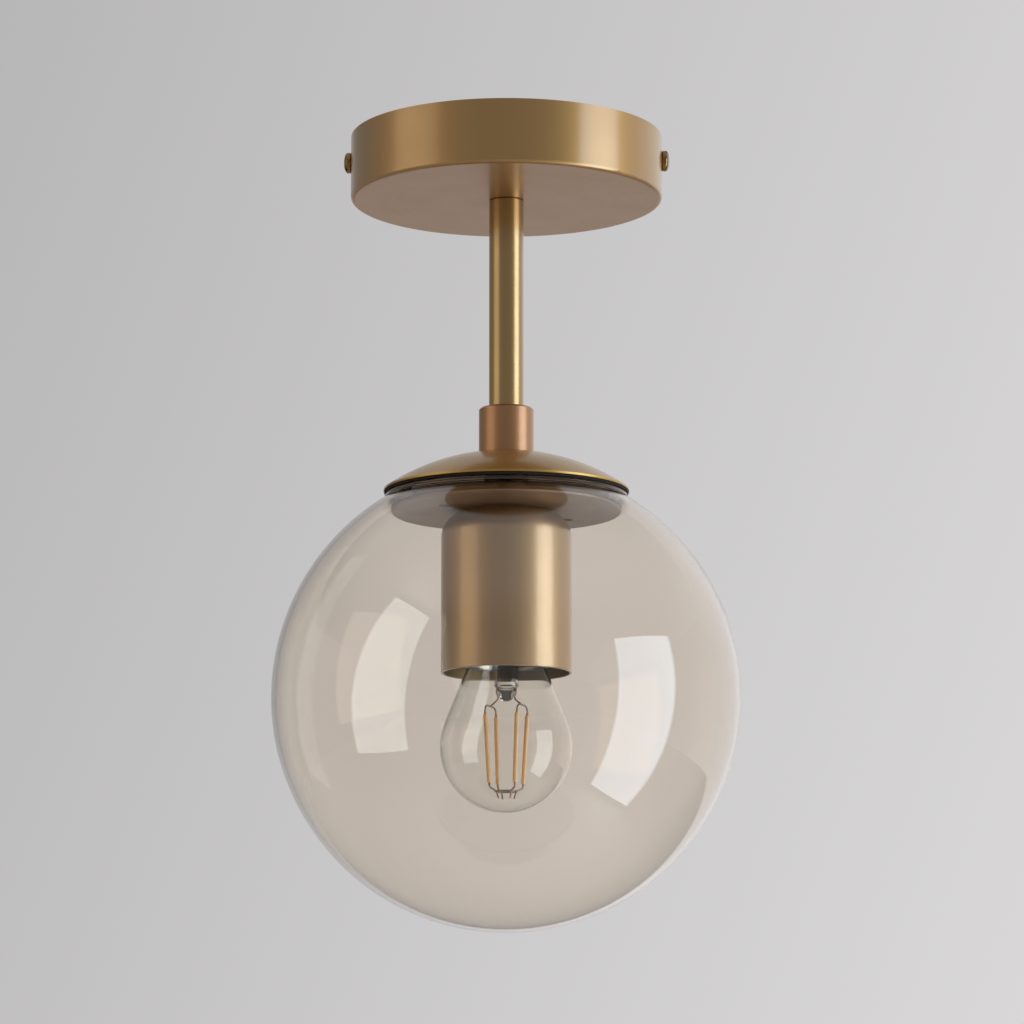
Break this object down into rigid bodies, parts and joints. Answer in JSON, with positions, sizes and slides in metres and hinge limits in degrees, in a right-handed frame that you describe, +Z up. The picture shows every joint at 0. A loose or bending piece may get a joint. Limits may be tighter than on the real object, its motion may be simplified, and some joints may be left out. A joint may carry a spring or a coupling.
{
  "type": "semi flush ceiling light",
  "caption": "Short brass ceiling light: round canopy cup, thin stem and dome cap over a clear smoked glass globe with a metal lampholder cup and a round filament bulb.",
  "frame": {"origin": "middle of the ceiling bracket's slotted hole pattern, on the ceiling plane", "axes": "+Z up into the ceiling along the stem's axis, +X along the bracket through the side screws, -Y towards the viewer"},
  "size_m": [0.159, 0.159, 0.2738],
  "materials": {
    "satin_brass": "satin",
    "rose_brass": "satin",
    "zinc_steel": "zinc plated",
    "satin_steel": "satin",
    "spring_steel": "satin",
    "plain_brass": "bright",
    "black_rubber": "matt",
    "smoked_glass": "polished",
    "clear_glass": "polished",
    "black_phenolic": "satin",
    "white_steatite": "matt",
    "white_polyamide": "satin",
    "brown_insulation": "satin",
    "blue_insulation": "satin",
    "green_insulation": "satin",
    "nickel_cap": "bright",
    "solder": "satin",
    "black_glass": "gloss",
    "lead_wire": "bright",
    "phosphor": "matt",
    "circuit_board": "satin"
  },
  "bodies": {
    "fixture": {"ceiling_bracket": "zinc_steel", "bracket_earth_screw": "plain_brass", "side_screws": "satin_brass", "canopy": "satin_brass", "canopy_washer": "zinc_steel", "earth_ring_terminal": "plain_brass", "canopy_nut": "zinc_steel", "upper_nipple": "zinc_steel", "nipple_bush": "white_polyamide", "stem": "satin_brass", "coupler": "rose_brass", "lower_nipple": "zinc_steel", "dome_cap": "satin_brass", "neck_gasket": "black_rubber", "spacer_tube": "zinc_steel", "gallery_pan": "satin_steel", "spring_clip_1": "spring_steel", "spring_clip_2": "spring_steel", "spring_clip_3": "spring_steel", "lampholder_cup": "satin_brass", "cup_washer": "zinc_steel", "cup_nut": "zinc_steel", "holder_cap": "black_phenolic", "holder_body": "black_phenolic", "contact_carrier": "white_steatite", "screw_shell": "plain_brass", "centre_contact": "plain_brass", "holder_terminals": "plain_brass", "holder_terminal_screws": "zinc_steel", "contact_rivets": "plain_brass", "terminal_block": "white_polyamide", "terminal_tubes": "plain_brass", "terminal_screws": "zinc_steel", "live_wire": "brown_insulation", "neutral_wire": "blue_insulation", "earth_wire": "green_insulation"},
    "globe": {"glass_globe": "smoked_glass"},
    "bulb_end": {"bulb_contact": "solder"},
    "bulb": {"bulb_cap": "nickel_cap", "bulb_insulator": "black_glass", "bulb_envelope": "clear_glass", "bulb_mount_stem": "clear_glass", "bulb_lead_wires": "lead_wire", "filament_1": "phosphor", "filament_2": "phosphor", "filament_3": "phosphor", "filament_4": "phosphor", "filament_ring": "lead_wire", "bulb_driver": "circuit_board"}
  },
  "joints": [
    {"name": "globe_pull", "type": "slide", "parent": "fixture", "child": "globe", "axis": [0, 0, -1], "range_m": [0, 0.12], "deforming": ["spring_clip_1", "spring_clip_2", "spring_clip_3"]},
    {"name": "bulb_travel", "type": "slide", "parent": "fixture", "child": "bulb_end", "axis": [0, 0, -1], "range_m": [0, 0.0218]},
    {"name": "bulb_turn", "type": "hinge", "parent": "bulb_end", "child": "bulb", "pos_m": [0, 0, -0.1575], "axis": [0, 0, -1], "range_deg": [0, 2160]}
  ],
  "couplings": [
    {"joint": "bulb_travel", "follows": "bulb_turn", "m_per_rad": 0.00057757}
  ]
}
